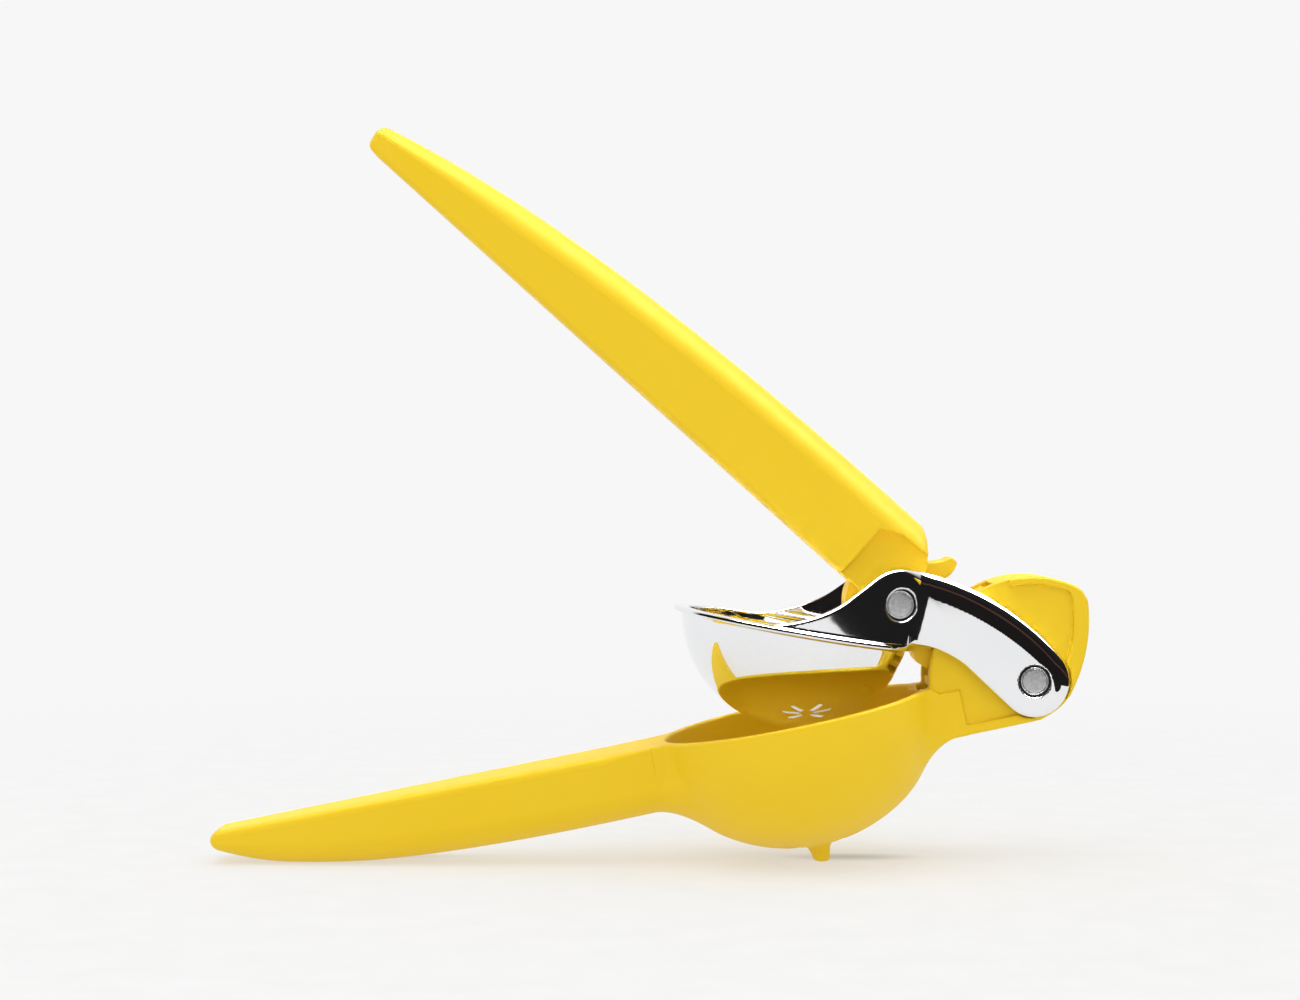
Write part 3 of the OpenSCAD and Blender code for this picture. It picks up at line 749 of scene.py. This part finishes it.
def upper_handle(u, y, v):
    """Grip with the geared hub between the arms."""
    y = np.abs(y)
    local_u, local_v = u - HANDLE_PIN[0], v - HANDLE_PIN[1]
    s, h = -local_u, local_v + PIN_ABOVE_FACE
    tip = taper(s, UPPER_LEN)
    back = np.interp(s, back_s, back_h)
    crown = np.minimum(UPPER_CROWN, back * UPPER_CROWN_SHARE)
    grip = grip_field(y, h, mix(GRIP_W, TIP_W, tip) / 2, back, crown, UPPER_SPREAD)
    grip = soft_both(grip, -h, mix(*FACE_ROUND, tip))
    grip = soft_both(grip, side_of(local_u, h, UPPER_TIP, 180 + TIP_LEAN), TIP_ROUND)
    slant = side_of(local_u, h, END_SLANT_AT, END_SLANT)
    grip = soft_both(grip, soft_both(slant, local_u, END_ROUND), END_EDGE)
    slope = edge_line(local_u, local_v, *BESIDE_SLOPE)
    beside = soft_both(BESIDE_LEFT - local_u, slope, BESIDE_ROUND)
    beside = soft_both(beside, local_v - BESIDE_TOP, BESIDE_ROUND)
    grip = cut(grip, both(beside, HUB_HALF - BESIDE_IN - y), BESIDE_EDGE)

    hub = soft_both(disc(u, v, HANDLE_PIN, HUB_R), slab(y, HUB_HALF), HUB_EDGE)
    solid = union(soft_union(grip, hub, HUB_FILLET_R), hub_gear(u, y, v))
    return cut(solid, disc(u, v, HANDLE_PIN, PIN_R + PIN_PLAY), BORE_EDGE)


# --- Pins ---------------------------------------------------------------------------

LATHE_SEGMENTS = 128
DOME_R, DOME_FALL = 3.6, 0.06


def round_corner(radius, depth, r, start, end, count=5):
    """Arc of a profile round a centre, angles in degrees."""
    arc = [polar(r, a) for a in np.linspace(start, end, count)]
    return [(radius + x, depth - y) for x, y in arc]


# Profiles at the end of a pin, as radius and depth below the plane of its end. The pin has
# a faint dome, a fine groove, a bright rim and a side; a near-black sheet of painted shade
# lies in the gap that parts it from the ring in the lever, which runs from its inner wall to its
# outer one.
PIN_END = [(r, 0.05 + DOME_FALL * (r / DOME_R) ** 2) for r in np.linspace(0.01, DOME_R, 9)]
PIN_END += [(3.66, 0.16), (3.74, 0.5), (3.86, 0.5), (3.92, 0.16)]
PIN_END += round_corner(4.0, 0.28, 0.2, 100, 90, 2) + round_corner(4.05, 0.33, 0.25, 90, 0)
PIN_END += [(4.3, 0.8), (PIN_R, 1.2)]
# Near-black sheet of painted shade in the gap between pin and ring.
GROOVE_SHADE_END = [(4.2, 0.36), (4.5, 0.32), (4.8, 0.28), (5.1, 0.24)]
RING_END = [(4.95, 1.5)]
RING_END += round_corner(5.2, 0.23, 0.25, 180, 90) + round_corner(5.3, 0.23, 0.25, 90, 0)
RING_END += [(5.55, 2.5)]


def lathe(profile, at):
    """Surface of revolution across the press from a profile of radius and y, outwards along it."""
    n = LATHE_SEGMENTS
    angles = np.arange(n) * 2 * math.pi / n
    cos, sin, ones = np.cos(angles), np.sin(angles), np.ones(n)
    radii, spots = np.array(profile).T
    slopes = zip(np.gradient(radii), np.gradient(spots))
    points = [np.stack([at[0] + r * cos, y * ones, at[1] + r * sin], 1)
              for r, y in zip(radii, spots)]
    normals = [np.stack([-dy * cos, dr * ones, -dy * sin], 1) for dr, dy in slopes]
    faces = []
    for k in range(len(profile) - 1):
        for i in range(n):
            a, b = k * n + i, k * n + (i + 1) % n
            faces.append((a, b, b + n, a + n))
    return np.concatenate(points), np.array(faces), np.concatenate(normals)


def add_lathed(name, at, profile, material, node):
    """Lathes a profile at one end of a pin and mirrors it to the other."""
    points, faces, normals = lathe(profile, at)
    faces = np.concatenate([faces, faces[:, ::-1] + len(points)])
    points = np.concatenate([points, points * FLIP_Y])
    normals = unit(np.concatenate([normals, normals * FLIP_Y]))
    add_piece(name, points, faces, normals, material, "press", [node], press_to_row)


# --- Nodes ---------------------------------------------------------------------------

def add_node(tree, kind, inputs):
    """New node whose inputs hold constants or are fed by the outputs of other nodes."""
    node = tree.nodes.new(kind)
    for key, value in inputs.items():
        if isinstance(value, bpy.types.NodeSocket):
            tree.links.new(value, node.inputs[key])
        else:
            node.inputs[key].default_value = value
    return node


def maths(tree, operation, *values):
    node = add_node(tree, "ShaderNodeMath", dict(enumerate(values)))
    node.operation = operation
    return node.outputs["Value"]


def vector_maths(tree, operation, *values):
    node = add_node(tree, "ShaderNodeVectorMath", dict(enumerate(values)))
    node.operation = operation
    return node.outputs["Value" if operation == "LENGTH" else "Vector"]


def map_range(tree, value, low, high, to_low=0.0, to_high=1.0, kind="LINEAR"):
    """Value remapped from low-high to to_low-to_high, and kept within them."""
    node = add_node(tree, "ShaderNodeMapRange", {
        "Value": value, "From Min": low, "From Max": high, "To Min": to_low, "To Max": to_high,
    })
    node.interpolation_type = kind
    return node.outputs["Result"]


def coordinates(tree, space):
    return tree.nodes.new("ShaderNodeTexCoord").outputs[space]


def split_xyz(tree, vector):
    outputs = add_node(tree, "ShaderNodeSeparateXYZ", {"Vector": vector}).outputs
    return outputs["X"], outputs["Y"], outputs["Z"]


def glossy_ray(tree):
    """1 for a reflected ray, 0 for any other."""
    return tree.nodes.new("ShaderNodeLightPath").outputs["Is Glossy Ray"]


def noise(tree, scale, detail, rough=0.5, space="Object"):
    """Noise, one feature per 1/scale of the space's unit."""
    texture = add_node(tree, "ShaderNodeTexNoise", {
        "Vector": coordinates(tree, space), "Scale": scale, "Detail": detail, "Roughness": rough,
    })
    return texture.outputs["Fac"]


def ramp(tree, value, stops):
    """Colour ramp through stops of (position, colour)."""
    node = add_node(tree, "ShaderNodeValToRGB", {"Fac": value})
    elements = node.color_ramp.elements
    while len(elements) < len(stops):
        elements.new(0.5)
    for element, (position, colour) in zip(elements, stops):
        element.position = position
        element.color = (*colour, 1)
    return node.outputs["Color"]


def mix_colours(tree, share, first, second):
    node = add_node(tree, "ShaderNodeMixRGB", {"Fac": share, "Color1": first, "Color2": second})
    return node.outputs["Color"]


def mix_shaders(tree, share, first, second):
    node = add_node(tree, "ShaderNodeMixShader", {"Fac": share, 1: first, 2: second})
    return node.outputs["Shader"]


# --- Materials -----------------------------------------------------------------------

# Part of the noise that the colours and the roughness run over.
CLOUD = (0.3, 0.7)


def new_material(name):
    material = bpy.data.materials.new(name)
    material.use_nodes = True
    tree = material.node_tree
    return material, tree, tree.nodes["Principled BSDF"]


def clouded(tree, shader, cloud, first, second, roughness=None):
    """Colour, and roughness where it is given, that go from one value to another with the noise."""
    colour = ramp(tree, cloud, list(zip(CLOUD, (first, second))))
    tree.links.new(colour, shader.inputs["Base Color"])
    if roughness:
        tree.links.new(map_range(tree, cloud, *CLOUD, *roughness), shader.inputs["Roughness"])


def bump(tree, shader, height, strength, distance):
    node = add_node(tree, "ShaderNodeBump", {
        "Strength": strength, "Distance": distance, "Height": height,
    })
    tree.links.new(node.outputs["Normal"], shader.inputs["Normal"])


def nylon():
    """Satin lemon-yellow moulded nylon with a fine grain."""
    material, tree, shader = new_material("lemon_nylon")
    clouded(tree, shader, noise(tree, 22, 3), (0.86, 0.575, 0.010), (0.88, 0.595, 0.016))
    sheen = map_range(tree, noise(tree, 300, 4), *CLOUD, 0.46, 0.56)
    tree.links.new(sheen, shader.inputs["Roughness"])
    shader.inputs["Specular IOR Level"].default_value = 0.24
    bump(tree, shader, noise(tree, 2600, 3), 0.10, 0.0001)
    return material


def chrome():
    """Bright chrome plating with a breath of haze."""
    material, tree, shader = new_material("chrome_plate")
    haze = noise(tree, 40, 4)
    clouded(tree, shader, haze, (0.86, 0.87, 0.88), (0.90, 0.90, 0.91), (0.015, 0.04))
    shader.inputs["Metallic"].default_value = 1.0
    bump(tree, shader, noise(tree, 90, 2), 0.06, 0.0003)
    return material


def pin_steel():
    """Turned steel with mottled ends."""
    material, tree, shader = new_material("pin_steel")
    mottle = noise(tree, 900, 6, 0.65)
    clouded(tree, shader, mottle, (0.55, 0.55, 0.56), (0.86, 0.86, 0.87), (0.28, 0.48))
    shader.inputs["Metallic"].default_value = 1.0
    bump(tree, shader, mottle, 0.25, 0.0002)
    return material


def painted_groove_shade():
    """Painted shade: a near-black sheet in the gap round each pin, with a faint random tone."""
    material, tree, shader = new_material("painted_groove_shade")
    shade_mottle = noise(tree, 1500, 4)
    clouded(tree, shader, shade_mottle, (0.004, 0.004, 0.004), (0.02, 0.018, 0.016), (0.5, 0.7))
    shader.inputs["Specular IOR Level"].default_value = 0.2
    return material


# --- Studio ---------------------------------------------------------------------------

CAMERA_AT = (0.001, -0.775, 0.121)
CAMERA_PITCH = 89.5
CAMERA_LENS = 67.85
CAMERA_SENSOR = 36
CAMERA_NEAR = 0.01

KEY_AT, KEY_TARGET = (-0.3, -0.5, 1.4), (0, 0, 0.08)
KEY_SIZE = 1.2
KEY_POWER = 4

SURROUND = 0.93
PALE = (SURROUND, SURROUND, SURROUND, 1)

FLOOR_HALF = 9.0
FLOOR_DARKER, FLOOR_LIGHTER = (0.39, 0.39, 0.39), (0.41, 0.41, 0.41)
FLOOR_GLOW = 0.5
FLOOR_FADE = (0.2, 0.75)

# Where the table ends for reflections, and how bright it is beyond.
TABLE_FRONT = -3.5
TABLE_SIDE, TABLE_SIDE_SLOPE = 0.385, 0.05
BEYOND_GLOW = 0.012

# Painted shadows, soft ovals of less glow where the press comes near the floor: centre, radii and
# depth of each oval.
PAINTED_FLOOR_SHADOWS = (
    ((0.066, 0.014, 0), (0.078, 0.026, 1), 0.1),
    ((0.066, 0.008, 0), (0.028, 0.010, 1), 0.5),
    ((-0.095, 0.010, 0), (0.055, 0.008, 1), 0.3),
)

# What reflections see in front of the press: colours by height, where the right and the
# back count as higher, with ragged edges. Behind it they see the pale surround.
SKY = [
    (0.20, (0.012, 0.010, 0.010)), (0.26, (0.10, 0.045, 0.035)), (0.33, (0.012, 0.010, 0.010)),
    (0.78, (0.02, 0.02, 0.02)), (0.90, (24.0, 24.0, 24.0)),
]
SKY_LEAN = (0.3, 0.25)
SKY_RAGGED, SKY_NOISE = 0.12, (9, 5)
SKY_BEHIND = (0.25, 0.45)


def add_camera():
    data = bpy.data.cameras.new("camera")
    data.lens = CAMERA_LENS
    data.sensor_width = CAMERA_SENSOR
    data.clip_start = CAMERA_NEAR
    camera = bpy.data.objects.new("camera", data)
    camera.location = CAMERA_AT
    camera.rotation_euler = (math.radians(CAMERA_PITCH), 0, 0)
    bpy.context.scene.collection.objects.link(camera)
    bpy.context.scene.camera = camera


def add_sheet(name, points, faces, material):
    """Sheet of the studio, which isn't part of the object."""
    mesh = bpy.data.meshes.new(name)
    mesh.from_pydata(points, [], faces)
    mesh.materials.append(material)
    sheet = bpy.data.objects.new(name, mesh)
    bpy.context.scene.collection.objects.link(sheet)


def painted_floor_shadow(tree, coords, centre, radii, depth):
    """Painted shadow: soft oval of less light on the floor, from 1 - depth in its middle to 1."""
    offset = vector_maths(tree, "SUBTRACT", coords, centre)
    reach = vector_maths(tree, "LENGTH", vector_maths(tree, "DIVIDE", offset, radii))
    return map_range(tree, reach, 0, 1, 1 - depth, 1, "SMOOTHSTEP")


def beyond_table(tree, coords):
    """1 for a reflected ray that meets the floor off the table, right of it or in front."""
    x, y, _ = split_xyz(tree, coords)
    side = maths(tree, "MULTIPLY_ADD", y, -TABLE_SIDE_SLOPE, x)
    right = maths(tree, "GREATER_THAN", side, TABLE_SIDE)
    front = maths(tree, "LESS_THAN", y, TABLE_FRONT)
    return maths(tree, "MULTIPLY", maths(tree, "MAXIMUM", right, front), glossy_ray(tree))


def add_floor():
    """Pale table top that glows a little, with soft shadows painted into its glow under the press.
    It fades into the surround with distance, and reflections see it end."""
    material, tree, shader = new_material("floor_paper")
    clouded(tree, shader, noise(tree, 60, 3), FLOOR_DARKER, FLOOR_LIGHTER)
    shader.inputs["Roughness"].default_value = 1.0
    shader.inputs["Specular IOR Level"].default_value = 0.0
    shader.inputs["Emission Color"].default_value = (1, 1, 1, 1)
    coords = coordinates(tree, "Object")
    glow = FLOOR_GLOW
    # Painted shadows: each oval takes glow away from the floor near the press.
    for centre, radii, depth in PAINTED_FLOOR_SHADOWS:
        glow = maths(tree, "MULTIPLY", painted_floor_shadow(tree, coords, centre, radii, depth), glow)
    tree.links.new(glow, shader.inputs["Emission Strength"])

    reach = vector_maths(tree, "LENGTH", coords)
    fade = map_range(tree, reach, *FLOOR_FADE, kind="SMOOTHSTEP")
    pale = add_node(tree, "ShaderNodeEmission", {"Color": PALE})
    dark = add_node(tree, "ShaderNodeEmission", {"Strength": BEYOND_GLOW})
    table = mix_shaders(tree, fade, shader.outputs["BSDF"], pale.outputs["Emission"])
    ended = mix_shaders(tree, beyond_table(tree, coords), table, dark.outputs["Emission"])
    tree.links.new(ended, tree.nodes["Material Output"].inputs["Surface"])

    r = FLOOR_HALF
    add_sheet("floor", [(-r, -r, 0), (r, -r, 0), (r, r, 0), (-r, r, 0)], [(0, 1, 2, 3)], material)


def add_key_light():
    """Square light above the front left, which reflections don't see."""
    data = bpy.data.lights.new("key", "AREA")
    data.shape = "RECTANGLE"
    data.size, data.size_y = KEY_SIZE, KEY_SIZE
    data.energy = KEY_POWER
    light = bpy.data.objects.new("key", data)
    light.location = KEY_AT
    away = np.array(KEY_AT, float) - np.array(KEY_TARGET, float)
    flat = math.hypot(away[0], away[1])
    light.rotation_euler = (math.atan2(flat, away[2]), 0, math.atan2(away[0], -away[1]))
    light.visible_glossy = False
    bpy.context.scene.collection.objects.link(light)


def add_world():
    """Even pale surround. Reflections see instead a dark room with a bright light overhead,
    and the pale surround behind the press."""
    world = bpy.data.worlds.new("studio")
    bpy.context.scene.world = world
    world.use_nodes = True
    tree = world.node_tree
    x, y, z = split_xyz(tree, coordinates(tree, "Generated"))
    ragged = maths(tree, "SUBTRACT", noise(tree, *SKY_NOISE, space="Generated"), 0.5)
    lean_x, lean_y = (maths(tree, "MULTIPLY", c, lean) for c, lean in zip((x, y), SKY_LEAN))
    height = maths(tree, "ADD", z, maths(tree, "ADD", lean_x, lean_y))
    height = maths(tree, "ADD", height, maths(tree, "MULTIPLY", ragged, SKY_RAGGED))
    sky = mix_colours(tree, map_range(tree, y, *SKY_BEHIND), ramp(tree, height, SKY), PALE)
    seen = mix_colours(tree, glossy_ray(tree), PALE, sky)
    tree.links.new(seen, tree.nodes["Background"].inputs["Color"])
    bpy.context.scene.view_settings.view_transform = "Standard"


# --- Scene ----------------------------------------------------------------------------

# Boxes that hold the fields: lowest u and v, then highest u, y and v.
BODY_BOX = (-LOWER_LEN - 2, -52), (92, 46, 40)
LEVER_BOX = (-42, -36), (90, 44, 28)
HANDLE_BOX = ((HANDLE_PIN[0] - UPPER_LEN - 2, HANDLE_PIN[1] - 28),
              (HANDLE_PIN[0] + 26, 20, HANDLE_PIN[1] + 30))
BODY_STEP, LEVER_STEP, HANDLE_STEP = ((0.6, 0.42, 0.5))
PINS = (("handle_pin", HANDLE_PIN, HANDLE_PIN_LEN / 2), ("base_pin", BASE_PIN, BASE_PIN_LEN / 2))

yellow = nylon()
silver = chrome()
steel = pin_steel()
groove_shade_material = painted_groove_shade()

add_field("body_shell", lower_body, BODY_BOX, BODY_STEP, yellow,
          "base", ["lower_body"], body_to_row)
add_field("lever_shell", press_lever, LEVER_BOX, LEVER_STEP, silver,
          "press", ["press_lever"], press_to_row)
add_field("handle_shell", upper_handle, HANDLE_BOX, HANDLE_STEP, yellow,
          "upper", ["upper_handle"], handle_to_row)
for pin_name, pin_at, pin_half in PINS:
    pin_end, groove_shade_end, ring_end = (
        [(r, pin_half - depth) for r, depth in end] for end in (PIN_END, GROOVE_SHADE_END, RING_END))
    add_lathed(pin_name + "_lathed", pin_at, pin_end + [(PIN_R, 0)], steel, pin_name)
    # Near-black sheet of painted shade in the gap between pin and ring.
    add_lathed(pin_name + "_groove", pin_at, groove_shade_end, groove_shade_material, pin_name)
    add_lathed(pin_name + "_seat", pin_at, ring_end, silver, "press_lever")

add_camera()
add_floor()
add_world()
add_key_light()
